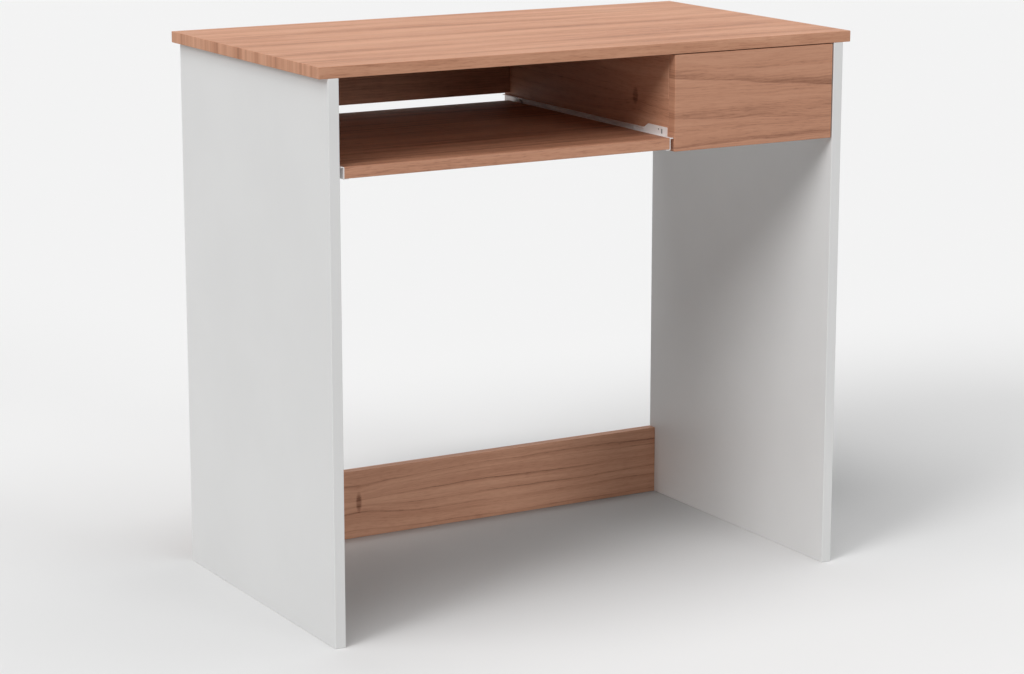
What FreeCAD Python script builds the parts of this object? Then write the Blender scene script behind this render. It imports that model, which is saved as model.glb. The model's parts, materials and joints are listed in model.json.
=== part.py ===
"""A small home-office desk in flat-pack board.

A wood-grain top lies on two white slab sides, which a lower rear stretcher ties together. A divider
hangs under the top and splits the space below it into a wide bay, with a pull-out keyboard tray, and a
narrow bay, with a drawer. An apron closes the upper back of each bay. Tray and drawer run on
pressed-steel roller slides. Cams with bolts, dowels and screws hold the boards.

Millimetres. X runs to the right, Y to the back and Z up. The origin is on the floor, below the middle
of the top.
"""

import FreeCAD
import Part
import math
import os
from FreeCAD import Vector

# Desk boards
DESK_WIDTH = 800.0
DESK_DEPTH = 450.0
DESK_HEIGHT = 746.0
TOP_THICKNESS = 15.0
SIDE_THICKNESS = 15.0
SIDE_INSET = 12.0  # the top overhangs each side by this
DIVIDER_THICKNESS = 15.0
APRON_THICKNESS = 15.0
APRON_GAP = 3.5  # between the tray's cabinet rails and the aprons above them
STRETCHER_THICKNESS = 15.0
STRETCHER_HEIGHT = 100.0
EDGE_ROUND = 0.8  # rounding of every board edge

# Keyboard tray
TRAY_THICKNESS = 15.0
TRAY_HEADROOM = 110.5  # from the tray's surface up to the top's underside
TRAY_FRONT_GAP = 1.0  # of the tray's front edge behind the sides' front edges
TRAY_BACK_GAP = 24.0  # of the tray's rear edge before the sides' rear edges

# Drawer
DRAWER_BAY_WIDTH = 240.0
FRONT_THICKNESS = 15.0
FRONT_TOP_GAP = 1.2  # shadow gap above the drawer front
FRONT_END_GAP = 2.0  # shadow gap at the drawer front's right end
FRONT_CLEARANCE = 0.5  # between the drawer front and the divider's edge behind it
DIVIDER_LIP = 2.5  # of divider and drawer front below the tray's slides
DRAWER_RAISE = 11.5  # of the drawer's slides above the tray's
DRAWER_TOP_GAP = 24.0  # from the box's upper edge to the top's underside
DRAWER_BACK_GAP = 25.0  # from the box to the apron behind it
BOX_WALL = 12.0
BOX_EDGE_ROUND = 0.5
BOTTOM_THICKNESS = 3.0
BOTTOM_CLEARANCE = 3.0  # between the rails' screws and the bottom panel above them
GROOVE_DEPTH = 6.0
GROOVE_PLAY = 0.1  # between the bottom panel and each wall of its groove

# Roller slides
SLIDE_SPACE = 6.5  # between a wall and the board that its slide carries
RAIL_SHEET = 1.0
RAIL_PLAY = 0.4  # between a flange or roller and the other rail's web
FLANGE_PLAY = 0.7  # between the cabinet rail's flanges and the carried rail's web
BEND_INSIDE = 0.2  # inside radius of a bend
CARRIED_FLANGE = 6.0  # lip of the carried rail under its board
CABINET_RISE = 5.8  # of the cabinet rail above the carried rail
CABINET_FRONT_GAP = 2.0  # from the drawer front's back to the cabinet rails
TRAY_CABINET_BACK_GAP = 3.0  # of the tray's cabinet rails before the sides' rear edges
DRAWER_CABINET_BACK_GAP = 8.0  # from the drawer's cabinet rails to the apron
TRAY_RAIL_BACK_GAP = 15.0  # of the tray's rails before its rear edge
DRAWER_RAIL_FRONT_GAP = 1.0  # from the drawer front's back to the drawer's rails
DRAWER_RAIL_BACK_GAP = 4.0  # of the drawer's rails before the box's rear end
OPEN_ROLLER_SPACING = 76.0  # between a slide's two rollers when it is fully out
HEAD_RISE = 5.7  # of the cabinet rail's plain front end above its flange
HEAD_LENGTH = 46.0
HEAD_SLOPE = 10.0
HEAD_CORNER = 1.5
HEAD_HOLE_DIAMETER = 3.0
HEAD_HOLE_SETBACK = 21.0
HEAD_HOLE_DROP = 4.6  # below the raised end's edge
HEAD_SLOT_WIDTH = 3.2
HEAD_SLOT_LENGTH = 7.2
HEAD_SLOT_SETBACK = 13.0
HEAD_SLOT_DROP = 6.6
STOP_CLEARANCE = 0.8  # between the lug that ends the travel and the carried rail below it
STOP_THICKNESS = 1.2
STOP_GAP = 0.5
ROLLER_GAP = 0.2  # between a roller and what it rolls on
FRONT_ROLLER_FLOOR_GAP = 2.2
REAR_ROLLER_TOP_GAP = 0.6
FRONT_ROLLER_SETBACK = 10.0  # from the cabinet rail's front end
REAR_ROLLER_SETBACK = 8.0  # from the carried rail's rear end
ROLLER_CHAMFER = 0.4
FLANGE_RELIEF = 1.5  # where the carried rail's flange stops short of its roller
RIVET_DIAMETER = 3.0
RIVET_HEAD_DIAMETER = 5.2
RIVET_HEAD_HEIGHT = 1.0
RIVET_HEAD_ROUND = 0.3
RIVET_HEAD_PLAY = 0.1  # under the head
RIVET_HEAD_RECESS = 0.2  # of the head below the roller's face
RIVET_RUNNING_CLEARANCE = 0.05
COUNTERBORE_PLAY = 0.3

# Fasteners
RAIL_SCREW_DIAMETER = 3.0
RAIL_SCREW_HEAD_DIAMETER = 6.0
RAIL_SCREW_BACK_WALL = 2.5  # box wall left beyond a rail screw's tip
BOX_SCREW_DIAMETER = 4.0
BOX_SCREW_HEAD_DIAMETER = 8.0
BOX_SCREW_LENGTH = 40.0
FRONT_SCREW_BACK_WALL = 5.0  # drawer front left beyond its screws' tips
SCREW_TIP = 2.0
RECESS_WIDTH_SHARE = 0.16  # cross recess, as shares of the head's diameter
RECESS_LENGTH_SHARE = 0.62
RECESS_DEPTH_SHARE = 0.22
CAM_DIAMETER = 15.0
CAM_DISTANCE = 34.0  # from the joint to the cam's axis
CAM_FLOOR = 1.0  # of the cam behind its bolt's head
CAM_PLAY = 0.3  # between a cam and its bolt
CAM_SLOT_WIDTH = 2.0
CAM_SLOT_LENGTH = 9.0
CAM_SLOT_DEPTH = 2.0
BOLT_DIAMETER = 6.0
BOLT_HOLE_PLAY = 0.5
BOLT_NECK_DIAMETER = 4.6
BOLT_NECK_LENGTH = 6.0
BOLT_HEAD_DIAMETER = 7.4
BOLT_HEAD_LENGTH = 3.0
BOLT_THREAD_DIAMETER = 6.6
BLIND_WALL = 4.0  # board left behind a blind hole
DOWEL_DIAMETER = 8.0
DOWEL_EDGE_DEPTH = 19.0
DOWEL_CHAMFER = 0.8
OVERRUN = 1.0  # by which a cut runs past the material

# Places of fasteners, as shares of the length that they are spread along, from its middle
SIDE_BOLT_SHARES = (-0.33, 0.33)
SIDE_DOWEL_SHARES = (-0.22, 0.22)
DIVIDER_BOLT_SHARES = (-0.28, 0.28)
DIVIDER_DOWEL_SHARES = (-0.16, 0.16)
TRAY_APRON_BOLT_SHARES = (-0.25, 0.25)
TRAY_APRON_DOWEL_SHARES = (0.0,)
DRAWER_APRON_BOLT_SHARES = (0.0,)
DRAWER_APRON_DOWEL_SHARES = (-0.3, 0.3)
END_BOLT_SHARE = 0.0
END_DOWEL_SHARES = (-0.32, 0.32)
OFFSET_END_BOLT_SHARE = 0.16  # clear of the fasteners on the divider's other face
OFFSET_END_DOWEL_SHARES = (-0.18,)
BOX_SCREW_SHARES = (0.12, 0.36)
FRONT_SCREW_ROW_SHARES = (-0.05, 0.24)
FRONT_SCREW_COLUMN_SHARES = (-0.3, 0.3)
CABINET_SCREW_SHARES = (-0.28, 0.05, 0.4)
CARRIED_SCREW_SHARES = (-0.36, 0.0, 0.34)

# Directions
LEFTWARD = Vector(-1, 0, 0)
RIGHTWARD = Vector(1, 0, 0)
BACKWARD = Vector(0, 1, 0)
DOWNWARD = Vector(0, 0, -1)

# Planes of the carcass
front_y = -DESK_DEPTH / 2
back_y = DESK_DEPTH / 2
top_x = DESK_WIDTH / 2
under_top = DESK_HEIGHT - TOP_THICKNESS
side_outer_x = top_x - SIDE_INSET
side_inner_x = side_outer_x - SIDE_THICKNESS
divider_right_x = side_inner_x - DRAWER_BAY_WIDTH
divider_left_x = divider_right_x - DIVIDER_THICKNESS
apron_front_y = back_y - APRON_THICKNESS

# Planes of the tray, the slides and the drawer
tray_top = under_top - TRAY_HEADROOM
tray_base = tray_top - TRAY_THICKNESS
tray_front_y = front_y + TRAY_FRONT_GAP
tray_back_y = back_y - TRAY_BACK_GAP
apron_base = tray_top + CABINET_RISE + APRON_GAP
divider_base = tray_base - RAIL_SHEET - DIVIDER_LIP
front_back_y = front_y + FRONT_THICKNESS
divider_front_y = front_back_y + FRONT_CLEARANCE
cabinet_front_y = front_back_y + CABINET_FRONT_GAP
rail_height = TRAY_THICKNESS
drawer_base = tray_base + DRAWER_RAISE
drawer_top = under_top - DRAWER_TOP_GAP
bottom_base = drawer_base + (rail_height + RAIL_SCREW_DIAMETER) / 2 + BOTTOM_CLEARANCE
box_left_x = divider_right_x + SLIDE_SPACE
box_right_x = side_inner_x - SLIDE_SPACE
box_back_y = apron_front_y - DRAWER_BACK_GAP

# Sizes that follow from others
bend_outside = BEND_INSIDE + RAIL_SHEET
counterbore_depth = RIVET_HEAD_HEIGHT + RIVET_HEAD_PLAY + RIVET_HEAD_RECESS
rail_screw_length = RAIL_SHEET + BOX_WALL - RAIL_SCREW_BACK_WALL
front_screw_length = BOX_WALL + FRONT_THICKNESS - FRONT_SCREW_BACK_WALL
board_thickness = {
    "tabletop": TOP_THICKNESS,
    "left_side_panel": SIDE_THICKNESS,
    "right_side_panel": SIDE_THICKNESS,
    "divider_panel": DIVIDER_THICKNESS,
    "back_apron": APRON_THICKNESS,
    "drawer_bay_apron": APRON_THICKNESS,
    "lower_stretcher": STRETCHER_THICKNESS,
}


# Plain shapes

def box(low, high):
    return Part.makeBox(high[0] - low[0], high[1] - low[1], high[2] - low[2], Vector(*low))


def board(low, high, rounding=EDGE_ROUND):
    """A flat board between two corners, with its edges rounded."""
    blank = box(low, high)
    return blank.makeFillet(rounding, blank.Edges)


def rounded_face(corners, to_point):
    """A flat face round (a, b, radius) corners, where to_point turns (a, b) into a point in space."""
    edges = []
    straight_ends = []
    flat = [(Vector(a, b, 0), radius) for a, b, radius in corners]
    for i, (corner, radius) in enumerate(flat):
        before = (corner - flat[i - 1][0]).normalize()
        after = (flat[(i + 1) % len(flat)][0] - corner).normalize()
        turn = before.getAngle(after)
        reach = radius * math.tan(turn / 2)
        start = corner - before * reach
        end = corner + after * reach
        if radius:
            bisector = (after - before).normalize()
            middle = corner + bisector * (radius / math.cos(turn / 2) - radius)
            edges.append(Part.Arc(*(to_point(p.x, p.y) for p in (start, middle, end))).toShape())
        straight_ends.append((start, end))
    for i, (start, _) in enumerate(straight_ends):
        previous = straight_ends[i - 1][1]
        line = Part.LineSegment(to_point(previous.x, previous.y), to_point(start.x, start.y))
        edges.append(line.toShape())
    return Part.Face(Part.Wire(Part.__sortEdges__(edges)))


def oblong(low, high):
    """The four square corners of an outline between two opposite ones."""
    return [(low[0], low[1], 0), (high[0], low[1], 0), (high[0], high[1], 0), (low[0], high[1], 0)]


def placed(shape, origin, z_axis, x_axis):
    """The shape, made about the origin along Z, moved to a point and turned to the given axes."""
    turn = FreeCAD.Rotation(x_axis, z_axis.cross(x_axis), z_axis, "ZXY")
    moved = shape.copy()
    moved.Placement = FreeCAD.Placement(origin, turn)
    return moved


def rod(diameter, start, end):
    """A round bar along Z from one height to another."""
    return Part.makeCylinder(diameter / 2, end - start, Vector(0, 0, start))


def joined(*shapes):
    """Several touching shapes as one solid."""
    return shapes[0].fuse(list(shapes[1:])).removeSplitter()


def round_edges(shape):
    return [edge for edge in shape.Edges if len(edge.Vertexes) == 1]


def cross(width, length, depth):
    """A cross-shaped recess that goes down from Z zero."""
    bars = [
        box((-a / 2, -b / 2, -depth), (a / 2, b / 2, OVERRUN))
        for a, b in ((width, length), (length, width))
    ]
    return joined(*bars)


# Fasteners, each made along Z and then placed

def screw(diameter, head_diameter, length):
    """A countersunk screw with its head's face at Z zero, and the hole that it fills."""
    radius = diameter / 2
    head_radius = head_diameter / 2
    head_depth = head_radius - radius
    tip_base = Vector(0, 0, SCREW_TIP - length)
    body = joined(
        Part.makeCone(head_radius, radius, head_depth, Vector(0, 0, 0), DOWNWARD),
        rod(diameter, tip_base.z, -head_depth),
        Part.makeCone(radius, 0, SCREW_TIP, tip_base, DOWNWARD),
    )
    recess = cross(
        RECESS_WIDTH_SHARE * head_diameter,
        RECESS_LENGTH_SHARE * head_diameter,
        RECESS_DEPTH_SHARE * head_diameter,
    )
    return body.cut(recess), body


def cam_bolt(thread_depth):
    """The bolt of a cam joint: its thread below Z zero, its shank, neck and head above."""
    head_base = CAM_DISTANCE - BOLT_HEAD_LENGTH / 2
    neck_base = head_base - BOLT_NECK_LENGTH
    return joined(
        rod(BOLT_THREAD_DIAMETER, -thread_depth, 0),
        rod(BOLT_DIAMETER, 0, neck_base),
        rod(BOLT_NECK_DIAMETER, neck_base, head_base),
        rod(BOLT_HEAD_DIAMETER, head_base, head_base + BOLT_HEAD_LENGTH),
    )


def cam_blank(thickness):
    """The plain round plug of a cam, along X from behind its bolt's head to the board's face."""
    floor_x = -BOLT_HEAD_DIAMETER / 2 - CAM_PLAY - CAM_FLOOR
    return Part.makeCylinder(
        CAM_DIAMETER / 2, thickness / 2 - floor_x, Vector(floor_x, 0, CAM_DISTANCE), RIGHTWARD)


def cam_lock(thickness):
    """The cam, with the way for its bolt and the cross slot in its face."""
    head_base = CAM_DISTANCE - BOLT_HEAD_LENGTH / 2
    head_end = head_base + BOLT_HEAD_LENGTH
    way = rod(BOLT_DIAMETER + CAM_PLAY * 2, CAM_DISTANCE - CAM_DIAMETER, head_base)
    seat = rod(BOLT_HEAD_DIAMETER + CAM_PLAY * 2, head_base - CAM_PLAY, head_end + CAM_PLAY)
    slot = placed(
        cross(CAM_SLOT_WIDTH, CAM_SLOT_LENGTH, CAM_SLOT_DEPTH),
        Vector(thickness / 2, 0, CAM_DISTANCE),
        RIGHTWARD,
        BACKWARD,
    )
    return cam_blank(thickness).cut([way, seat, slot])


def dowel(face_depth):
    """A plain wooden dowel: part in a board's face, below Z zero, and part in the other's edge."""
    plain = rod(DOWEL_DIAMETER, -face_depth, DOWEL_EDGE_DEPTH)
    return plain.makeChamfer(DOWEL_CHAMFER, round_edges(plain))


class Desk:
    """Collects the pieces by name, and the holes that are drilled in each."""

    def __init__(self):
        self.pieces = {}
        self.holes = {}

    def add(self, name, *shapes):
        self.pieces.setdefault(name, []).extend(shapes)

    def drill(self, name, *cutters):
        self.holes.setdefault(name, []).extend(cutters)

    def cam_joint(self, face_board, edge_board, point, into_edge, cam_face):
        """A cam in edge_board that draws a bolt in face_board tight, at a point on the joint."""
        thread_depth = board_thickness[face_board] - BLIND_WALL
        thickness = board_thickness[edge_board]
        thread_hole = rod(BOLT_THREAD_DIAMETER, -thread_depth, 0)
        bolt_hole = rod(BOLT_DIAMETER + BOLT_HOLE_PLAY * 2, 0, CAM_DISTANCE)
        where = (point, into_edge, cam_face)
        self.add("cam_bolts", placed(cam_bolt(thread_depth), *where))
        self.add("cam_locks", placed(cam_lock(thickness), *where))
        self.drill(face_board, placed(thread_hole, *where))
        self.drill(edge_board, placed(bolt_hole, *where), placed(cam_blank(thickness), *where))

    def dowel_joint(self, face_board, edge_board, point, into_edge):
        face_depth = board_thickness[face_board] - BLIND_WALL
        hole = placed(rod(DOWEL_DIAMETER, -face_depth, DOWEL_EDGE_DEPTH), point, into_edge, BACKWARD)
        self.add("wood_dowels", placed(dowel(face_depth), point, into_edge, BACKWARD))
        self.drill(face_board, hole)
        self.drill(edge_board, hole)

    def drive_screw(self, node, boards, sizes, point, outward):
        """A screw whose head lies flush at a point, and its hole in each board that it passes."""
        made, hole = (placed(shape, point, outward, DOWNWARD) for shape in screw(*sizes))
        self.add(node, made)
        for name in boards:
            self.drill(name, hole)

    def export(self):
        os.makedirs("parts", exist_ok=True)
        for name, solids in self.pieces.items():
            if name in self.holes:
                solids = [solid.cut(self.holes[name]) for solid in solids]
            shape = solids[0] if len(solids) == 1 else Part.makeCompound(solids)
            shape.exportStep(f"parts/{name}.step")


class Slide:
    """One roller slide: a rail on a wall, a rail on the board that it carries, and a roller on each.

    Places on it are (u, y, z), where u is the distance from the wall towards the carried board.
    """

    def __init__(self, name, wall, wall_x, inward, carried, base, rail_span, cabinet_back):
        self.name = name
        self.wall = wall
        self.wall_x = wall_x
        self.inward = inward
        self.carried = carried
        self.base = base
        self.rail_front, self.rail_back = rail_span
        self.cabinet_back = cabinet_back

        self.top = base + rail_height
        self.floor = base - RAIL_SHEET
        self.ceiling = self.top + CABINET_RISE
        self.web = SLIDE_SPACE - RAIL_SHEET
        self.roller_start = RAIL_SHEET + RAIL_PLAY
        self.roller_end = self.web - RAIL_PLAY

        under_flange = self.top - RAIL_SHEET
        self.front_radius = (under_flange - base - ROLLER_GAP - FRONT_ROLLER_FLOOR_GAP) / 2
        self.front_y = cabinet_front_y + FRONT_ROLLER_SETBACK
        self.front_axis = (self.front_y, under_flange - ROLLER_GAP - self.front_radius)
        channel_height = self.ceiling - RAIL_SHEET - base
        self.rear_radius = (channel_height - ROLLER_GAP - REAR_ROLLER_TOP_GAP) / 2
        self.rear_y = self.rail_back - REAR_ROLLER_SETBACK
        self.rear_axis = (self.rear_y, base + ROLLER_GAP + self.rear_radius)
        self.open_rear_y = self.front_y + OPEN_ROLLER_SPACING

    def at(self, u, y, z):
        return Vector(self.wall_x + self.inward.x * u, y, z)

    def strip(self, corners, start, end):
        """A profile of (u, z, radius) corners run along Y."""
        face = rounded_face(corners, lambda u, z: self.at(u, start, z))
        return face.extrude(Vector(0, end - start, 0))

    def plate(self, corners, start, end):
        """An outline of (y, z, radius) corners run from one u to another."""
        face = rounded_face(corners, lambda y, z: self.at(start, y, z))
        return face.extrude(self.inward * (end - start))

    def pin(self, diameter, axis, start, end):
        """A round bar from one u to another, about an axis at (y, z)."""
        return Part.makeCylinder(diameter / 2, end - start, self.at(start, *axis), self.inward)

    def cabinet_rail(self):
        """The channel on the wall, with a raised plain end in front and a lug that ends the travel."""
        sheet = RAIL_SHEET
        flange = self.web - FLANGE_PLAY
        floor = self.floor
        ceiling = self.ceiling
        shoulder = ceiling - bend_outside
        head_top = ceiling + HEAD_RISE
        head_back = cabinet_front_y + HEAD_LENGTH
        head_end = head_back + HEAD_SLOPE
        stop_back = self.open_rear_y - self.rear_radius - STOP_GAP
        stop_front = stop_back - STOP_THICKNESS
        stop_base = self.top + STOP_CLEARANCE
        lower_half = [
            (0, floor, bend_outside),
            (flange, floor, 0),
            (flange, floor + sheet, 0),
            (sheet, floor + sheet, BEND_INSIDE),
        ]
        upper_half = [
            (sheet, ceiling - sheet, BEND_INSIDE),
            (flange, ceiling - sheet, 0),
            (flange, ceiling, 0),
            (0, ceiling, bend_outside),
        ]
        cut_off = [(sheet, shoulder, 0), (0, shoulder, 0)]
        channel = self.strip(lower_half + upper_half, head_end, self.cabinet_back)
        angle = self.strip(lower_half + cut_off, cabinet_front_y, head_end)
        head = self.plate([
            (cabinet_front_y, shoulder, 0),
            (cabinet_front_y, head_top, HEAD_CORNER),
            (head_back, head_top, HEAD_CORNER),
            (head_end, ceiling, 0),
            (head_end, shoulder, 0),
        ], 0, sheet)
        lug = self.plate(oblong((stop_front, stop_base), (stop_back, ceiling - sheet)), 0, flange)
        rivet_hole = self.pin(RIVET_DIAMETER, self.front_axis, 0, sheet)
        return joined(channel, angle, head, lug).cut(self.head_holes(head_top) + [rivet_hole])

    def head_holes(self, head_top):
        """A round hole and an upright slot in the raised end."""
        start = -OVERRUN
        end = RAIL_SHEET + OVERRUN
        hole_axis = (cabinet_front_y + HEAD_HOLE_SETBACK, head_top - HEAD_HOLE_DROP)
        hole = self.pin(HEAD_HOLE_DIAMETER, hole_axis, start, end)
        slot_y = cabinet_front_y + HEAD_SLOT_SETBACK
        slot_z = head_top - HEAD_SLOT_DROP
        half_width = HEAD_SLOT_WIDTH / 2
        slot_low = slot_z - HEAD_SLOT_LENGTH / 2 + half_width
        slot_high = slot_z + HEAD_SLOT_LENGTH / 2 - half_width
        sides = self.plate(
            oblong((slot_y - half_width, slot_low), (slot_y + half_width, slot_high)), start, end)
        ends = [self.pin(HEAD_SLOT_WIDTH, (slot_y, z), start, end) for z in (slot_low, slot_high)]
        return [hole, joined(sides, *ends)]

    def carried_rail(self):
        """The rail on the carried board: a lip under it, a web beside it and a flange over the roller."""
        lip = SLIDE_SPACE + CARRIED_FLANGE
        flange = RAIL_SHEET + RAIL_PLAY
        shoulder = self.top - bend_outside
        flange_back = self.rear_y - self.rear_radius - FLANGE_RELIEF
        lower_half = [
            (self.web, self.floor, bend_outside),
            (lip, self.floor, 0),
            (lip, self.base, 0),
            (SLIDE_SPACE, self.base, BEND_INSIDE),
        ]
        upper_half = [
            (SLIDE_SPACE, self.top, bend_outside),
            (flange, self.top, 0),
            (flange, self.top - RAIL_SHEET, 0),
            (self.web, self.top - RAIL_SHEET, BEND_INSIDE),
        ]
        cut_off = [(SLIDE_SPACE, shoulder, 0), (self.web, shoulder, 0)]
        whole = self.strip(lower_half + upper_half, self.rail_front, flange_back)
        angle = self.strip(lower_half + cut_off, flange_back, self.rail_back)
        rivet_hole = self.pin(RIVET_DIAMETER, self.rear_axis, self.web, SLIDE_SPACE)
        return joined(whole, angle).cut(rivet_hole)

    def roller(self, radius, axis, seat_start, seat_end):
        """A nylon roller with a running bore, and a seat for its rivet's head from one u to another."""
        wheel = self.pin(radius * 2, axis, self.roller_start, self.roller_end)
        wheel = wheel.makeChamfer(ROLLER_CHAMFER, round_edges(wheel))
        bore_diameter = RIVET_DIAMETER + RIVET_RUNNING_CLEARANCE * 2
        bore = self.pin(bore_diameter, axis, self.roller_start - OVERRUN, self.roller_end + OVERRUN)
        seat = self.pin(RIVET_HEAD_DIAMETER + COUNTERBORE_PLAY * 2, axis, seat_start, seat_end)
        return wheel.cut([bore, seat])

    def rivet(self, axis, shank_start, shank_end, head_start):
        """The roller's axle: a shank fast in its rail's web, and a head in the roller's seat."""
        shank = self.pin(RIVET_DIAMETER, axis, shank_start, shank_end)
        head = self.pin(RIVET_HEAD_DIAMETER, axis, head_start, head_start + RIVET_HEAD_HEIGHT)
        return joined(shank, head.makeFillet(RIVET_HEAD_ROUND, round_edges(head)))

    def add_front_roller(self, desk):
        """The roller on the cabinet rail, whose rivet's head is on the carried board's side."""
        seat = self.roller_end - counterbore_depth
        head_start = seat + RIVET_HEAD_PLAY
        wheel = self.roller(self.front_radius, self.front_axis, seat, self.roller_end + OVERRUN)
        axle = self.rivet(self.front_axis, 0, head_start + RIVET_HEAD_HEIGHT, head_start)
        desk.add(f"{self.name}_cabinet_roller", wheel)
        desk.add("cabinet_rail_rivets", axle)

    def add_rear_roller(self, desk, owner):
        """The roller on the carried rail, whose rivet's head is on the wall's side."""
        seat = self.roller_start + counterbore_depth
        head_start = seat - RIVET_HEAD_PLAY - RIVET_HEAD_HEIGHT
        wheel = self.roller(self.rear_radius, self.rear_axis, self.roller_start - OVERRUN, seat)
        axle = self.rivet(self.rear_axis, head_start, SLIDE_SPACE, head_start)
        desk.add(f"{self.name}_rail_roller", wheel)
        desk.add(f"{owner}_rail_rivets", axle)

    def add_to(self, desk, owner):
        """Adds the slide's pieces, with the carried ones under the owner's name, and drives its screws."""
        cabinet = f"{self.name}_cabinet_rail"
        rail = f"{self.name}_rail"
        desk.add(cabinet, self.cabinet_rail())
        desk.add(rail, self.carried_rail())
        self.add_front_roller(desk)
        self.add_rear_roller(desk, owner)
        sizes = (RAIL_SCREW_DIAMETER, RAIL_SCREW_HEAD_DIAMETER, rail_screw_length)
        cabinet_length = self.cabinet_back - cabinet_front_y
        for share in CABINET_SCREW_SHARES:
            y = cabinet_front_y + cabinet_length / 2 + share * cabinet_length
            point = self.at(RAIL_SHEET, y, (self.floor + self.ceiling) / 2)
            desk.drive_screw("cabinet_rail_screws", (cabinet, self.wall), sizes, point, self.inward)
        rail_length = self.rail_back - self.rail_front
        for share in CARRIED_SCREW_SHARES:
            y = self.rail_front + rail_length / 2 + share * rail_length
            point = self.at(self.web, y, (self.base + self.top) / 2)
            desk.drive_screw(f"{owner}_rail_screws", (rail, self.carried), sizes, point, -self.inward)


# The carcass

def add_carcass_boards(desk):
    desk.add("tabletop", board((-top_x, front_y, under_top), (top_x, back_y, DESK_HEIGHT)))
    desk.add("left_side_panel", board((-side_outer_x, front_y, 0), (-side_inner_x, back_y, under_top)))
    desk.add("right_side_panel", board((side_inner_x, front_y, 0), (side_outer_x, back_y, under_top)))
    desk.add("divider_panel", board(
        (divider_left_x, divider_front_y, divider_base), (divider_right_x, back_y, under_top)))
    desk.add("back_apron", board(
        (-side_inner_x, apron_front_y, apron_base), (divider_left_x, back_y, under_top)))
    desk.add("drawer_bay_apron", board(
        (divider_right_x, apron_front_y, apron_base), (side_inner_x, back_y, under_top)))
    desk.add("lower_stretcher", board(
        (-side_inner_x, back_y - STRETCHER_THICKNESS, 0), (side_inner_x, back_y, STRETCHER_HEIGHT)))


def join_top(desk):
    """Cams and dowels that hold the top on the sides, the divider and the aprons."""
    side_x = (side_inner_x + side_outer_x) / 2
    divider_x = (divider_left_x + divider_right_x) / 2
    tray_bay_x = (divider_left_x - side_inner_x) / 2
    drawer_bay_x = (divider_right_x + side_inner_x) / 2
    apron_y = back_y - APRON_THICKNESS / 2
    depth = Vector(0, DESK_DEPTH, 0)
    tray_bay = Vector(divider_left_x + side_inner_x, 0, 0)
    drawer_bay = Vector(DRAWER_BAY_WIDTH, 0, 0)
    side_shares = (SIDE_BOLT_SHARES, SIDE_DOWEL_SHARES)
    divider_shares = (DIVIDER_BOLT_SHARES, DIVIDER_DOWEL_SHARES)
    tray_apron_shares = (TRAY_APRON_BOLT_SHARES, TRAY_APRON_DOWEL_SHARES)
    drawer_apron_shares = (DRAWER_APRON_BOLT_SHARES, DRAWER_APRON_DOWEL_SHARES)
    uprights = (
        ("left_side_panel", (-side_x, 0), depth, side_shares, RIGHTWARD),
        ("right_side_panel", (side_x, 0), depth, side_shares, LEFTWARD),
        ("divider_panel", (divider_x, 0), depth, divider_shares, RIGHTWARD),
        ("back_apron", (tray_bay_x, apron_y), tray_bay, tray_apron_shares, BACKWARD),
        ("drawer_bay_apron", (drawer_bay_x, apron_y), drawer_bay, drawer_apron_shares, BACKWARD),
    )
    for name, centre, run, (bolt_shares, dowel_shares), cam_face in uprights:
        middle = Vector(*centre, under_top)
        for share in bolt_shares:
            desk.cam_joint("tabletop", name, middle + run * share, DOWNWARD, cam_face)
        for share in dowel_shares:
            desk.dowel_joint("tabletop", name, middle + run * share, DOWNWARD)


def join_cross_boards(desk):
    """Cams and dowels at the ends of the aprons and the stretcher, with the cams on their back faces."""
    apron = ((apron_base + under_top) / 2, under_top - apron_base)
    stretcher = (STRETCHER_HEIGHT / 2, STRETCHER_HEIGHT)
    left_side = ("left_side_panel", -side_inner_x, RIGHTWARD)
    right_side = ("right_side_panel", side_inner_x, LEFTWARD)
    divider_left = ("divider_panel", divider_left_x, LEFTWARD)
    divider_right = ("divider_panel", divider_right_x, RIGHTWARD)
    even_shares = (END_BOLT_SHARE, END_DOWEL_SHARES)
    offset_shares = (OFFSET_END_BOLT_SHARE, OFFSET_END_DOWEL_SHARES)
    cross_boards = (
        ("back_apron", apron, (left_side, divider_left), even_shares),
        ("drawer_bay_apron", apron, (divider_right, right_side), offset_shares),
        ("lower_stretcher", stretcher, (left_side, right_side), even_shares),
    )
    for name, (middle_z, height), ends, (bolt_share, dowel_shares) in cross_boards:
        y = back_y - board_thickness[name] / 2
        for face_board, x, inward in ends:
            desk.cam_joint(face_board, name, Vector(x, y, middle_z + bolt_share * height), inward, BACKWARD)
            for share in dowel_shares:
                desk.dowel_joint(face_board, name, Vector(x, y, middle_z + share * height), inward)


# The keyboard tray

def add_tray(desk):
    left_x = -side_inner_x + SLIDE_SPACE
    right_x = divider_left_x - SLIDE_SPACE
    desk.add("keyboard_tray", board((left_x, tray_front_y, tray_base), (right_x, tray_back_y, tray_top)))
    walls = (
        ("tray_left", "left_side_panel", -side_inner_x, RIGHTWARD),
        ("tray_right", "divider_panel", divider_left_x, LEFTWARD),
    )
    rail_span = (tray_front_y, tray_back_y - TRAY_RAIL_BACK_GAP)
    cabinet_back = back_y - TRAY_CABINET_BACK_GAP
    for name, wall, wall_x, inward in walls:
        slide = Slide(name, wall, wall_x, inward, "keyboard_tray", tray_base, rail_span, cabinet_back)
        slide.add_to(desk, "tray")


# The drawer

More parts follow.
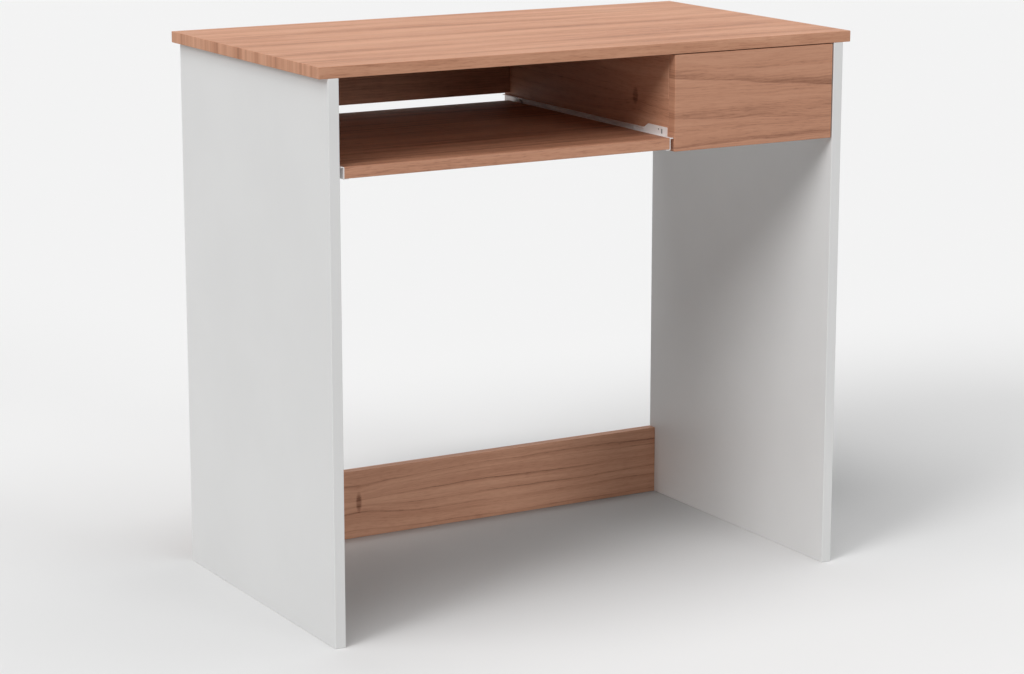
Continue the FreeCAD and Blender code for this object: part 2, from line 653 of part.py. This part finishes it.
def add_drawer_boards(desk):
    """The decorative front, the four walls of the box and the bottom panel in their grooves."""
    inner_left = box_left_x + BOX_WALL
    inner_right = box_right_x - BOX_WALL
    inner_front = front_back_y + BOX_WALL
    inner_back = box_back_y - BOX_WALL
    desk.add("drawer_front", board(
        (divider_left_x, front_y, divider_base),
        (side_inner_x - FRONT_END_GAP, front_back_y, under_top - FRONT_TOP_GAP)))
    bottom_top = bottom_base + BOTTOM_THICKNESS
    groove = box(
        (inner_left - GROOVE_DEPTH, inner_front - GROOVE_DEPTH, bottom_base - GROOVE_PLAY),
        (inner_right + GROOVE_DEPTH, inner_back + GROOVE_DEPTH, bottom_top + GROOVE_PLAY))
    walls = {
        "drawer_left_side": ((box_left_x, front_back_y), (inner_left, box_back_y)),
        "drawer_right_side": ((inner_right, front_back_y), (box_right_x, box_back_y)),
        "drawer_box_front": ((inner_left, front_back_y), (inner_right, inner_front)),
        "drawer_box_back": ((inner_left, inner_back), (inner_right, box_back_y)),
    }
    for name, (low, high) in walls.items():
        desk.add(name, board((*low, drawer_base), (*high, drawer_top), BOX_EDGE_ROUND))
        desk.drill(name, groove)
    reach = GROOVE_DEPTH - GROOVE_PLAY
    desk.add("drawer_bottom", box(
        (inner_left - reach, inner_front - reach, bottom_base),
        (inner_right + reach, inner_back + reach, bottom_top)))


def screw_drawer(desk):
    """Screws through the sides into the box's front and back, and through the box into the front."""
    height = drawer_top - drawer_base
    middle_z = (drawer_top + drawer_base) / 2
    side_sizes = (BOX_SCREW_DIAMETER, BOX_SCREW_HEAD_DIAMETER, BOX_SCREW_LENGTH)
    walls = (
        ("drawer_box_front", front_back_y + BOX_WALL / 2),
        ("drawer_box_back", box_back_y - BOX_WALL / 2),
    )
    sides = (
        ("drawer_left_side", box_left_x, LEFTWARD),
        ("drawer_right_side", box_right_x, RIGHTWARD),
    )
    for wall, y in walls:
        for side, x, outward in sides:
            for share in BOX_SCREW_SHARES:
                point = Vector(x, y, middle_z + share * height)
                desk.drive_screw("drawer_box_screws", (side, wall), side_sizes, point, outward)
    front_sizes = (BOX_SCREW_DIAMETER, BOX_SCREW_HEAD_DIAMETER, front_screw_length)
    middle_x = (box_left_x + box_right_x) / 2
    boards = ("drawer_box_front", "drawer_front")
    for column in FRONT_SCREW_COLUMN_SHARES:
        for row in FRONT_SCREW_ROW_SHARES:
            x = middle_x + column * (box_right_x - box_left_x)
            point = Vector(x, front_back_y + BOX_WALL, middle_z + row * height)
            desk.drive_screw("drawer_front_screws", boards, front_sizes, point, BACKWARD)


def add_drawer_slides(desk):
    walls = (
        ("drawer_left", "divider_panel", divider_right_x, RIGHTWARD, "drawer_left_side"),
        ("drawer_right", "right_side_panel", side_inner_x, LEFTWARD, "drawer_right_side"),
    )
    rail_span = (front_back_y + DRAWER_RAIL_FRONT_GAP, box_back_y - DRAWER_RAIL_BACK_GAP)
    cabinet_back = apron_front_y - DRAWER_CABINET_BACK_GAP
    for name, wall, wall_x, inward, carried in walls:
        slide = Slide(name, wall, wall_x, inward, carried, drawer_base, rail_span, cabinet_back)
        slide.add_to(desk, "drawer")


def main():
    desk = Desk()
    add_carcass_boards(desk)
    join_top(desk)
    join_cross_boards(desk)
    add_tray(desk)
    add_drawer_boards(desk)
    screw_drawer(desk)
    add_drawer_slides(desk)
    desk.export()


main()
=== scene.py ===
"""Looks of a small home-office desk in wood-grain and white board, with a keyboard tray and a drawer."""

import json
import math

import bpy
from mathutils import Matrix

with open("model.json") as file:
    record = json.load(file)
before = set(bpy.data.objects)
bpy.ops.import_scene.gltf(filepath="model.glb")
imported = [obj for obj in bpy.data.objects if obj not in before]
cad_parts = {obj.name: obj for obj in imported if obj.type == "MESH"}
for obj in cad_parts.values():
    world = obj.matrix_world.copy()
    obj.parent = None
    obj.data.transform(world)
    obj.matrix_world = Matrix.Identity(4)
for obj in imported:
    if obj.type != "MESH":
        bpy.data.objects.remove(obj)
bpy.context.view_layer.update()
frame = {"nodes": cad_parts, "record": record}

X, Y, Z = range(3)

# Camera: metres and degrees, and millimetres of lens and sensor
CAMERA_PLACE = (-1.9495, -3.3922, 1.1882)
CAMERA_YAW = 29.898
CAMERA_PITCH = -12.479
CAMERA_LENS = 101.885
SENSOR_WIDTH = 36.0

# Light: the sky's strength as light and as background, then each sun's direction and spread in degrees,
# with azimuth 0 at the desk's right and 270 in front of it
SKY_COLOUR = (1.0, 1.0, 1.0, 1.0)
SKY_LIGHT = 0.135
BACKGROUND = 0.90
SUNS = {
    "top": {"azimuth": 0.0, "elevation": 75.0, "spread": 36.0, "level": 0.285},
    "top_left": {"azimuth": 180.0, "elevation": 60.0, "spread": 32.0, "level": 0.242},
    "corner": {"azimuth": 220.0, "elevation": 45.0, "spread": 30.0, "level": 0.205},
    "left": {"azimuth": 200.0, "elevation": 30.0, "spread": 22.0, "level": 0.320},
    "front": {"azimuth": 290.0, "elevation": 15.0, "spread": 25.0, "level": 0.225},
}

# Floor: its half width in metres, the colour it shows, and the colour that stray light meets
FLOOR_REACH = 60.0
FLOOR_COLOUR = (0.913, 0.913, 0.913, 1.0)
FLOOR_BOUNCE = (0.53, 0.53, 0.53, 1.0)
# Painted soft shadows on the floor, around and below the desk: the colour and place of the middle, and the
# reach along X and Y in metres
FLOOR_PAINTED_SHADOWS = {
    "around": {"colour": (0.770, 0.770, 0.770, 1.0), "centre": (-0.30, 0.05), "reach": (2.90, 1.21)},
    "below": {"colour": (0.378, 0.390, 0.394, 1.0), "centre": (0.22, 0.27), "reach": (0.66, 0.40)},
}

# Noise keeps near its middle, so only these parts of its range are used
NOISE_RANGE = (0.3, 0.7)
METAL_NOISE_RANGE = (0.25, 0.75)
ROUGHNESS_NOISE_RANGE = (0.2, 0.8)

# Wood colours at each tone
RED_WOOD = {
    0.0: (0.215, 0.084, 0.045, 1.0),
    0.5: (0.525, 0.255, 0.155, 1.0),
    1.0: (0.655, 0.350, 0.225, 1.0),
    1.25: (0.720, 0.398, 0.260, 1.0),
}
BEECH = {
    0.0: (0.380, 0.225, 0.115, 1.0),
    0.5: (0.620, 0.440, 0.265, 1.0),
    1.0: (0.740, 0.580, 0.400, 1.0),
}
# Painted shade: near black, shown behind the rail's hole and slot in place of the shadow inside them
HOLE_SHADE_COLOUR = (0.020, 0.014, 0.011, 1.0)

# Layers of noise: how fast each changes along and across the grain, per metre, which slice of the noise is
# used, and its detail and roughness. The first two shape the lines of the grain, and the others follow them
LINE_LAYERS = {
    "bend": {"along": 1.6, "across": 5.0, "slice": 0.0, "detail": 2.0, "roughness": 0.5},
    "waves": {"along": 7.0, "across": 22.0, "slice": 3.0, "detail": 3.0, "roughness": 0.5},
}
GRAIN_LAYERS = {
    "broad": {"along": 0.9, "across": 16.0, "slice": 7.0, "detail": 2.0, "roughness": 0.5},
    "streaks": {"along": 2.4, "across": 70.0, "slice": 11.0, "detail": 5.0, "roughness": 0.68},
    "ends": {"along": 0.0, "across": 55.0, "slice": 13.0, "detail": 2.0, "roughness": 0.5},
    "fine": {"along": 14.0, "across": 420.0, "slice": 17.0, "detail": 3.0, "roughness": 0.6},
    "flecks": {"along": 70.0, "across": 620.0, "slice": 19.0, "detail": 2.0, "roughness": 0.5},
    "pores": {"along": 40.0, "across": 1500.0, "slice": 23.0, "detail": 2.0, "roughness": 0.5},
    "ring_places": {"along": 0.0, "across": 26.0, "slice": 29.0, "detail": 2.0, "roughness": 0.5},
    "ring_strength": {"along": 3.0, "across": 40.0, "slice": 31.0, "detail": 2.0, "roughness": 0.5},
}

# Figure of the grain: widths and depths in metres, shares in the tone
BEND_WIDTH = 0.016
BROAD_SHARE = 0.14
FINE_SHARE = 0.20
PORE_SHARE = 0.10
FLECK_RANGE = (0.50, 0.95)
PORE_RANGE = (0.75, 1.0)
RING_WIDTH = 0.017
RING_SHIFT = 1.1
RING_SHARPNESS = 5.0
FAINTEST_RING = 0.4
VEIN_ONSET = 0.15
KNOT_STRETCH = 2.2
KNOT_BEND = 1.2
KNOT_RIM = (0.1, 1.1)
PAINTED_SHADE_RIM = (0.8, 1.2)
WOOD_ROUGHNESS = (0.48, 0.60)
FINE_HEIGHT = 0.35
GRAIN_DEPTH = 0.00006

# Marks on single pieces: places along and across the grain and widths in metres. A vein's place is where it
# crosses the drawer front's middle
DIVIDER_KNOT = {"along": -0.128, "across": 0.6665, "size": 0.014, "width": 0.008, "shade": 0.46}
STRETCHER_KNOT = {"along": -0.133, "across": 0.0515, "size": 0.017, "width": 0.0055, "shade": 0.75}
# Painted shade on the divider behind the rail's open hole and slot, standing in for their shadow
RAIL_HOLE_SHADE = [
    {"along": -0.187, "across": 0.6274, "width": 0.005, "height": 0.005},
    {"along": -0.195, "across": 0.6254, "width": 0.005, "height": 0.010},
]
DRAWER_MIDDLE = 0.245
DRAWER_VEINS = [
    {"across": 0.688, "slope": -0.085, "width": 0.014, "share": 0.32},
    {"across": 0.708, "slope": -0.030, "width": 0.008, "share": 0.10},
    {"across": 0.640, "slope": -0.045, "width": 0.008, "share": 0.16},
    {"across": 0.628, "slope": -0.010, "width": 0.007, "share": 0.10},
    {"across": 0.610, "slope": 0.028, "width": 0.008, "share": 0.24},
]

# Wood pieces: what they have in common, then each one's grain axes, seed and departures from that
PLAIN_WOOD = {
    "palette": RED_WOOD,
    "tone": 0.62,  # lightness before the figure
    "streak_rate": GRAIN_LAYERS["streaks"]["across"],  # how close the streaks are
    "streaks": 0.36,  # share of the streaks in the tone
    "ripple": 0.004,  # waviness of the lines, in metres
    "rings": 0.22,  # share of the ring lines
    "flecks": 0.16,  # share of the short dark flecks
    "ends": 0.12,  # share of the stripes on the end faces
    # painted light: the narrow faces are made lighter than the broad ones, for how they are lit
    "edge": 0.0,  # how much lighter the narrow faces are
    "sheen": 0.32,  # level of the gloss
    "veins": [],  # dark lines along the grain
    "knots": [],
    # painted shade spots, standing in for shadow in holes
    "painted_shades": [],  # dark spots with a firm edge
}
TABLETOP_WOOD = {
    "along": X,
    "across": Y,
    "seed": 5.0,
    "tone": 0.77,
    "streak_rate": 34.0,
    "streaks": 0.66,
    "rings": 0.12,
    "ends": 0.60,
    # painted light on the narrow faces
    "edge": 0.02,
    "sheen": 0.13,
}
# Painted shade: the tray's tone is darkened and its narrow faces lightened, standing in for the shade on its
# top
TRAY_WOOD = {
    "along": X,
    "across": Y,
    "seed": 14.0,
    "tone": 0.40,
    "rings": 0.18,
    "edge": 0.20,
}
DIVIDER_WOOD = {
    "along": Y,
    "across": Z,
    "seed": 27.0,
    "tone": 0.72,
    "knots": [DIVIDER_KNOT],
    "painted_shades": RAIL_HOLE_SHADE,
}
APRON_WOOD = {
    "along": X,
    "across": Z,
    "seed": 41.0,
    "tone": 0.44,
    "streaks": 0.18,
    "rings": 0.10,
    "flecks": 0.08,
}
DRAWER_APRON_WOOD = {
    "along": X,
    "across": Z,
    "seed": 55.0,
}
# Painted light: the stretcher's tone is lighter than its wood, standing in for light on it in the shade
# below the desk
STRETCHER_WOOD = {
    "along": X,
    "across": Z,
    "seed": 63.0,
    "tone": 0.90,
    "streaks": 0.44,
    "rings": 0.72,
    "knots": [STRETCHER_KNOT],
}
DRAWER_FRONT_WOOD = {
    "along": X,
    "across": Z,
    "seed": 78.0,
    "tone": 0.58,
    "streak_rate": 45.0,
    "streaks": 0.22,
    "ripple": 0.006,
    "rings": 0.08,
    "flecks": 0.09,
    "veins": DRAWER_VEINS,
}
DOWEL_WOOD = {
    "along": X,
    "across": Z,
    "seed": 91.0,
    "palette": BEECH,
}

# Other finishes: rates are how fast their noise changes per metre, depths are in metres
MELAMINE = {
    "colour": (0.80, 0.80, 0.795, 1.0),
    "shade": 0.975,
    "cloud_rate": 7.0,
    "pearl_rate": 1400.0,
    "roughness": (0.42, 0.54),
    "gloss": 0.4,
    "depth": 0.00004,
}
# White enamel, tinted warm with painted bounce light from the wood around it
ENAMEL_AND_BOUNCE_TINT = {
    "dark": (0.91, 0.87, 0.855, 1.0),
    "light": (0.94, 0.90, 0.885, 1.0),
    "cloud_rate": 60.0,
    "peel_rate": 900.0,
    "roughness": (0.28, 0.40),
    "gloss": 0.5,
    "depth": 0.00005,
}
NYLON = {
    "dark": (0.78, 0.78, 0.75, 1.0),
    "light": (0.85, 0.85, 0.83, 1.0),
    "cloud_rate": 300.0,
    "roughness": (0.40, 0.55),
    "subsurface": 0.1,
    "depth": 0.00004,
}
ZINC_PLATE = {
    "dark": (0.60, 0.60, 0.59, 1.0),
    "light": (0.78, 0.78, 0.77, 1.0),
    "speck_rate": 700.0,
    "roughness": (0.34, 0.54),
    "depth": 0.00004,
}
CAST_ZINC = {
    "dark": (0.38, 0.38, 0.38, 1.0),
    "light": (0.56, 0.56, 0.55, 1.0),
    "speck_rate": 1100.0,
    "roughness": (0.40, 0.60),
    "depth": 0.00004,
}


class Finish:
    """A material under construction, with short calls for the nodes that the finishes use."""

    def __init__(self, name):
        self.material = bpy.data.materials.new(name)
        self.material.use_nodes = True
        self.tree = self.material.node_tree
        self.tree.nodes.clear()
        self.shader = self.tree.nodes.new("ShaderNodeBsdfPrincipled")
        output = self.tree.nodes.new("ShaderNodeOutputMaterial")
        self.tree.links.new(self.shader.outputs[0], output.inputs["Surface"])
        self.coordinates = self.tree.nodes.new("ShaderNodeTexCoord")

    def fill(self, socket, value):
        """Sets a socket to a constant, or links it to another node's socket."""
        if isinstance(value, bpy.types.NodeSocket):
            self.tree.links.new(value, socket)
        else:
            socket.default_value = value

    def set(self, **sockets):
        """Sets the shader's sockets, named in lower case with underscores."""
        for name, value in sockets.items():
            title = name.replace("_", " ").title().replace("Ior", "IOR")
            self.fill(self.shader.inputs[title], value)

    def math(self, operation, *values):
        node = self.tree.nodes.new("ShaderNodeMath")
        node.operation = operation
        for socket, value in zip(node.inputs, values):
            self.fill(socket, value)
        return node.outputs[0]

    def total(self, *values):
        """The sum of several values."""
        result = values[0]
        for value in values[1:]:
            result = self.math("ADD", result, value)
        return result

    def times(self, value, factor):
        return self.math("MULTIPLY", value, factor)

    def square(self, value):
        return self.math("MULTIPLY", value, value)

    def offset(self, value, middle, unit):
        """How far a value is from a middle, in a unit of length."""
        return self.math("DIVIDE", self.math("SUBTRACT", value, middle), unit)

    def swing(self, value, share):
        """A value from 0 to 1, as a departure from its middle."""
        return self.math("MULTIPLY_ADD", value, share, -share / 2)

    def place(self):
        """The place on the piece along X, Y and Z, in metres."""
        split = self.tree.nodes.new("ShaderNodeSeparateXYZ")
        self.tree.links.new(self.coordinates.outputs["Object"], split.inputs[0])
        return list(split.outputs)

    def facing(self):
        """How far the surface faces along X, Y and Z, from 0 to 1."""
        split = self.tree.nodes.new("ShaderNodeSeparateXYZ")
        self.tree.links.new(self.coordinates.outputs["Normal"], split.inputs[0])
        return [self.math("ABSOLUTE", output) for output in split.outputs]

    def vector(self, *values):
        node = self.tree.nodes.new("ShaderNodeCombineXYZ")
        for socket, value in zip(node.inputs, values):
            self.fill(socket, value)
        return node.outputs[0]

    def noise(self, vector, scale=1.0, detail=2.0, roughness=0.5):
        node = self.tree.nodes.new("ShaderNodeTexNoise")
        self.fill(node.inputs["Vector"], vector)
        self.fill(node.inputs["Scale"], scale)
        self.fill(node.inputs["Detail"], detail)
        self.fill(node.inputs["Roughness"], roughness)
        return node.outputs[0]

    def spread(self, value, low, high, to_low=0.0, to_high=1.0):
        """A value between two limits, smoothly mapped to two others."""
        node = self.tree.nodes.new("ShaderNodeMapRange")
        node.interpolation_type = "SMOOTHSTEP"
        for socket, entry in zip(node.inputs, (value, low, high, to_low, to_high)):
            self.fill(socket, entry)
        return node.outputs[0]

    def ramp(self, value, stops):
        """A colour between (position, colour) stops."""
        node = self.tree.nodes.new("ShaderNodeValToRGB")
        elements = node.color_ramp.elements
        while len(elements) < len(stops):
            elements.new(0.5)
        for element, (position, colour) in zip(elements, stops):
            element.position = position
            element.color = colour
        self.fill(node.inputs[0], value)
        return node.outputs[0]

    def mix(self, factor, first, second):
        """The first colour where the factor is 0, the second where it is 1."""
        node = self.tree.nodes.new("ShaderNodeMix")
        node.data_type = "RGBA"
        for socket, value in ((node.inputs[0], factor), (node.inputs[6], first), (node.inputs[7], second)):
            self.fill(socket, value)
        return node.outputs[2]

    def bump(self, height, distance):
        node = self.tree.nodes.new("ShaderNodeBump")
        self.fill(node.inputs["Height"], height)
        self.fill(node.inputs["Distance"], distance)
        self.fill(node.inputs["Strength"], 1.0)
        self.set(normal=node.outputs[0])


def layer_noise(finish, u, v, seed, layer):
    """Noise drawn out along the grain."""
    along = finish.times(u, layer["along"])
    across = finish.times(v, layer["across"])
    drawn = finish.vector(along, across, seed + layer["slice"])
    return finish.noise(drawn, detail=layer["detail"], roughness=layer["roughness"])


def bend_round_knot(finish, u, flow, knot):
    """Bends the lines of the grain round a knot; gives the bent lines and the knot's shade."""
    du = finish.offset(u, knot["along"], knot["size"] * KNOT_STRETCH)
    dv = finish.offset(flow, knot["across"], knot["size"])
    reach = finish.total(finish.square(du), finish.square(dv), 1.0)
    push = finish.math("DIVIDE", finish.times(dv, knot["size"] * KNOT_BEND), reach)
    narrow = finish.times(du, KNOT_STRETCH * knot["size"] / knot["width"])
    core = finish.total(finish.square(narrow), finish.square(dv))
    return finish.total(flow, push), finish.spread(core, *KNOT_RIM, knot["shade"], 0.0)


def grain_lines(finish, u, v, look):
    """The place across the grain, measured along its wavy lines, and the shades of the knots."""
    bend = layer_noise(finish, u, v, look["seed"], LINE_LAYERS["bend"])
    waves = layer_noise(finish, u, v, look["seed"], LINE_LAYERS["waves"])
    flow = finish.total(v, finish.swing(bend, BEND_WIDTH), finish.swing(waves, look["ripple"] * 2))
    shades = []
    for knot in look["knots"]:
        flow, shade = bend_round_knot(finish, u, flow, knot)
        shades.append(shade)
    return flow, shades


def grain_layers(finish, u, flow, look):
    """The layers of noise that follow the lines of the grain, each from 0 to 1."""
    streaks = GRAIN_LAYERS["streaks"] | {"across": look["streak_rate"]}
    layers = {}
    for name, layer in (GRAIN_LAYERS | {"streaks": streaks}).items():
        noise = layer_noise(finish, u, flow, look["seed"], layer)
        layers[name] = finish.spread(noise, *NOISE_RANGE)
    return layers


def ring_lines(finish, flow, layers):
    """Dark lines at uneven distances, each with one sharp and one soft side."""
    phase = finish.total(finish.times(flow, 1 / RING_WIDTH), finish.times(layers["ring_places"], RING_SHIFT))
    ring = finish.math("POWER", finish.math("FRACT", phase), RING_SHARPNESS)
    return finish.times(ring, finish.spread(layers["ring_strength"], 0.0, 1.0, FAINTEST_RING, 1.0))


def vein_shade(finish, u, flow, vein):
    """The shade of one dark line that starts sharply and fades out across the grain."""
    middle = vein["across"] - vein["slope"] * DRAWER_MIDDLE
    past = finish.math("SUBTRACT", flow, finish.math("MULTIPLY_ADD", u, vein["slope"], middle))
    onset = finish.spread(past, -VEIN_ONSET * vein["width"], 0.0)
    fade = finish.spread(past, 0.0, vein["width"], vein["share"], 0.0)
    return finish.times(onset, fade)


def painted_shade_cover(finish, u, v, shade_spot):
    """How far a painted shade spot with a firm edge covers the surface, from 0 to 1."""
    du = finish.offset(u, shade_spot["along"], shade_spot["width"] / 2)
    dv = finish.offset(v, shade_spot["across"], shade_spot["height"] / 2)
    reach = finish.total(finish.square(du), finish.square(dv))
    return finish.spread(reach, *PAINTED_SHADE_RIM, 1.0, 0.0)


def wood(name, departures):
    """Wood whose grain runs along one axis, with its figure across another."""
    look = PLAIN_WOOD | departures
    finish = Finish(name)
    place = finish.place()
    facing = finish.facing()
    along = look["along"]
    across = look["across"]
    through = X + Y + Z - along - across
    u = place[along]
    v = finish.total(place[across], finish.times(place[through], facing[across]))
    flow, shades = grain_lines(finish, u, v, look)
    layers = grain_layers(finish, u, flow, look)
    pores = finish.spread(layers["pores"], *PORE_RANGE)
    shades += [vein_shade(finish, u, flow, vein) for vein in look["veins"]]

    tone = finish.total(
        look["tone"],
        finish.swing(layers["broad"], BROAD_SHARE),
        finish.swing(layers["streaks"], look["streaks"]),
        finish.swing(layers["fine"], FINE_SHARE),
        finish.times(facing[along], finish.swing(layers["ends"], look["ends"])),
        # Painted light: narrow faces lighter than the broad ones
        finish.math("MULTIPLY_ADD", facing[through], -look["edge"], look["edge"]),
        finish.times(ring_lines(finish, flow, layers), -look["rings"]),
        finish.times(finish.spread(layers["flecks"], *FLECK_RANGE), -look["flecks"]),
        finish.times(pores, -PORE_SHARE),
    )
    for shade in shades:
        tone = finish.math("SUBTRACT", tone, shade)
    palest = max(look["palette"])
    stops = [(level / palest, shown) for level, shown in look["palette"].items()]
    colour = finish.ramp(finish.times(tone, 1 / palest), stops)
    # Painted shade: near-black spots where the rail's hole and slot show the divider
    for shade_spot in look["painted_shades"]:
        colour = finish.mix(painted_shade_cover(finish, u, v, shade_spot), colour, HOLE_SHADE_COLOUR)
    finish.set(
        base_color=colour,
        roughness=finish.spread(layers["fine"], 0.0, 1.0, *WOOD_ROUGHNESS),
        specular_ior_level=look["sheen"],
    )
    height = finish.total(finish.times(layers["fine"], FINE_HEIGHT), finish.times(pores, -1.0))
    finish.bump(height, GRAIN_DEPTH)
    return finish.material


def white_board(name, drift):
    """White melamine on board: a fine pearled surface, faintly clouded.

    Drift changes the size of the clouds a little, so that the boards differ.
    """
    finish = Finish(name)
    place = finish.vector(*finish.place())
    cloud = finish.noise(place, MELAMINE["cloud_rate"] + drift, detail=3.0)
    pearl = finish.noise(place, MELAMINE["pearl_rate"])
    light = MELAMINE["colour"]
    dark = [*(channel * MELAMINE["shade"] for channel in light[:3]), 1.0]
    finish.set(
        base_color=finish.mix(finish.spread(cloud, *NOISE_RANGE), dark, light),
        roughness=finish.spread(pearl, *ROUGHNESS_NOISE_RANGE, *MELAMINE["roughness"]),
        specular_ior_level=MELAMINE["gloss"],
    )
    finish.bump(pearl, MELAMINE["depth"])
    return finish.material


def coated_steel():
    """White stove enamel on pressed steel, with a slight orange peel, tinted warm with painted bounce light
    from the wood.
    """
    finish = Finish("white_steel")
    place = finish.vector(*finish.place())
    peel = finish.noise(place, ENAMEL_AND_BOUNCE_TINT["peel_rate"])
    cloud = finish.noise(place, ENAMEL_AND_BOUNCE_TINT["cloud_rate"], detail=3.0)
    finish.set(
        base_color=finish.mix(finish.spread(cloud, *NOISE_RANGE), ENAMEL_AND_BOUNCE_TINT["dark"], ENAMEL_AND_BOUNCE_TINT["light"]),
        roughness=finish.spread(peel, *ROUGHNESS_NOISE_RANGE, *ENAMEL_AND_BOUNCE_TINT["roughness"]),
        specular_ior_level=ENAMEL_AND_BOUNCE_TINT["gloss"],
    )
    finish.bump(peel, ENAMEL_AND_BOUNCE_TINT["depth"])
    return finish.material


def nylon():
    """Moulded white nylon, slightly cloudy."""
    finish = Finish("white_nylon")
    place = finish.vector(*finish.place())
    cloud = finish.noise(place, NYLON["cloud_rate"], detail=3.0)
    finish.set(
        base_color=finish.mix(finish.spread(cloud, *NOISE_RANGE), NYLON["dark"], NYLON["light"]),
        roughness=finish.spread(cloud, *ROUGHNESS_NOISE_RANGE, *NYLON["roughness"]),
        subsurface_weight=NYLON["subsurface"],
    )
    finish.bump(cloud, NYLON["depth"])
    return finish.material


def metal(name, look):
    """Cast or plated metal with a fine, uneven grain."""
    finish = Finish(name)
    place = finish.vector(*finish.place())
    speck = finish.noise(place, look["speck_rate"], detail=4.0, roughness=0.6)
    finish.set(
        base_color=finish.mix(finish.spread(speck, *METAL_NOISE_RANGE), look["dark"], look["light"]),
        metallic=1.0,
        roughness=finish.spread(speck, *ROUGHNESS_NOISE_RANGE, *look["roughness"]),
    )
    finish.bump(speck, look["depth"])
    return finish.material


def paint_pieces():
    """Gives every CAD piece its own finish, or the finish of its material slot."""
    own = {
        "tabletop": wood("wood_tabletop", TABLETOP_WOOD),
        "keyboard_tray": wood("wood_tray", TRAY_WOOD),
        "divider_panel": wood("wood_divider", DIVIDER_WOOD),
        "back_apron": wood("wood_apron", APRON_WOOD),
        "drawer_bay_apron": wood("wood_drawer_apron", DRAWER_APRON_WOOD),
        "lower_stretcher": wood("wood_stretcher", STRETCHER_WOOD),
        "drawer_front": wood("wood_drawer_front", DRAWER_FRONT_WOOD),
        "left_side_panel": white_board("white_left", drift=0.0),
        "right_side_panel": white_board("white_right", drift=0.7),
        "drawer_bottom": white_board("white_drawer_bottom", drift=1.3),
    }
    by_slot = {
        "drawer_board": white_board("white_drawer_box", drift=1.9),
        "white_steel": coated_steel(),
        "white_nylon": nylon(),
        "zinc_steel": metal("zinc_plate", ZINC_PLATE),
        "cast_zinc": metal("cast_zinc", CAST_ZINC),
        "beech": wood("beech", DOWEL_WOOD),
    }
    for part in frame["record"]["subparts"]:
        node = frame["nodes"][part["node"]]
        node.material_slots[0].material = own.get(part["node"]) or by_slot[part["material_slot"]]


def direct_view(tree):
    """1 where the camera sees a surface itself, in a reflection or through glass, and 0 for stray light."""
    path = tree.nodes.new("ShaderNodeLightPath")
    seen = path.outputs["Is Camera Ray"]
    for ray in ("Is Glossy Ray", "Is Transmission Ray"):
        either = tree.nodes.new("ShaderNodeMath")
        either.operation = "MAXIMUM"
        tree.links.new(seen, either.inputs[0])
        tree.links.new(path.outputs[ray], either.inputs[1])
        seen = either.outputs[0]
    return seen


def floor_finish():
    """A pale floor with painted soft shadows near and below the desk, that throws back less light than it
    shows.
    """
    finish = Finish("floor")
    place = finish.place()
    shown = FLOOR_COLOUR
    # Painted shadows: each darkens the floor towards its middle
    for painted_shadow in FLOOR_PAINTED_SHADOWS.values():
        squares = []
        for distance, centre, reach in zip(place, painted_shadow["centre"], painted_shadow["reach"]):
            squares.append(finish.square(finish.offset(distance, centre, reach)))
        away = finish.spread(finish.math("SQRT", finish.total(*squares)), 0.0, 1.0)
        shown = finish.mix(away, painted_shadow["colour"], shown)
    finish.set(
        base_color=finish.mix(direct_view(finish.tree), FLOOR_BOUNCE, shown),
        roughness=1.0,
        specular_ior_level=0.0,
    )
    return finish.material


def add_floor():
    """One wide flat square, under the desk."""
    corners = [(-1, -1), (1, -1), (1, 1), (-1, 1)]
    mesh = bpy.data.meshes.new("floor")
    mesh.from_pydata([(x * FLOOR_REACH, y * FLOOR_REACH, 0) for x, y in corners], [], [(0, 1, 2, 3)])
    mesh.materials.append(floor_finish())
    floor = bpy.data.objects.new("floor", mesh)
    bpy.context.scene.collection.objects.link(floor)


def add_sky():
    """A plain sky that gives a weak even light and shows as a pale background."""
    world = bpy.data.worlds.new("sky")
    bpy.context.scene.world = world
    world.use_nodes = True
    nodes = world.node_tree.nodes
    links = world.node_tree.links
    nodes.clear()
    strength = nodes.new("ShaderNodeMapRange")
    strength.inputs["To Min"].default_value = SKY_LIGHT
    strength.inputs["To Max"].default_value = BACKGROUND
    links.new(direct_view(world.node_tree), strength.inputs["Value"])
    background = nodes.new("ShaderNodeBackground")
    background.inputs["Color"].default_value = SKY_COLOUR
    links.new(strength.outputs[0], background.inputs["Strength"])
    output = nodes.new("ShaderNodeOutputWorld")
    links.new(background.outputs[0], output.inputs["Surface"])


def add_suns():
    """Wide soft suns from above, from the left and from the front."""
    for name, sun in SUNS.items():
        lamp = bpy.data.lights.new(name, "SUN")
        lamp.energy = sun["level"] * math.pi
        lamp.angle = math.radians(sun["spread"])
        holder = bpy.data.objects.new(name, lamp)
        holder.rotation_euler = (math.radians(90 - sun["elevation"]), 0, math.radians(sun["azimuth"] + 90))
        bpy.context.scene.collection.objects.link(holder)


def add_camera():
    """The photograph's camera."""
    data = bpy.data.cameras.new("camera")
    data.sensor_fit = "HORIZONTAL"
    data.sensor_width = SENSOR_WIDTH
    data.lens = CAMERA_LENS
    camera = bpy.data.objects.new("camera", data)
    camera.location = CAMERA_PLACE
    camera.rotation_euler = (math.radians(90 + CAMERA_PITCH), 0, math.radians(-CAMERA_YAW))
    bpy.context.scene.collection.objects.link(camera)
    bpy.context.scene.camera = camera


paint_pieces()
add_floor()
add_sky()
add_suns()
add_camera()
bpy.context.scene.view_settings.view_transform = "Standard"
